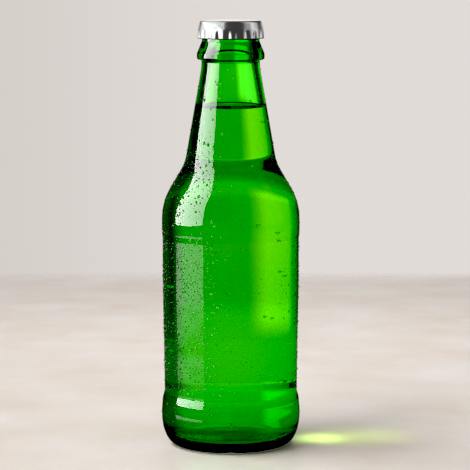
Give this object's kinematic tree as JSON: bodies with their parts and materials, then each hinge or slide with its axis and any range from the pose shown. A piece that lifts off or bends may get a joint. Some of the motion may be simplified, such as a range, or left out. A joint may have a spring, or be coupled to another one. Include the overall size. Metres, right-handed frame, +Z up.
{
  "type": "sparkling juice bottle",
  "caption": "Green glass bottle of sparkling juice with a pressed metal cap, a straight panel, rounded shoulder, tapered neck and beads of condensation.",
  "frame": {"origin": "on the surface that the bottle stands on, under the middle of its base", "axes": "+Z up along the bottle's axis, towards the cap; the bottle is round, so X and Y are free"},
  "size_m": [0.0612, 0.0612, 0.1848],
  "materials": {
    "green_glass": "smooth moulded bottle glass, vivid green, faintly wavy",
    "juice": "clear pale straw liquid",
    "cap_metal": "satin lacquered tinplate, fine rolled grain",
    "water_drops": "clear water in small beads"
  },
  "bodies": {
    "root": {"glass_bottle": "green_glass", "juice": "juice", "crown_cap": "cap_metal"}
  },
  "joints": []
}
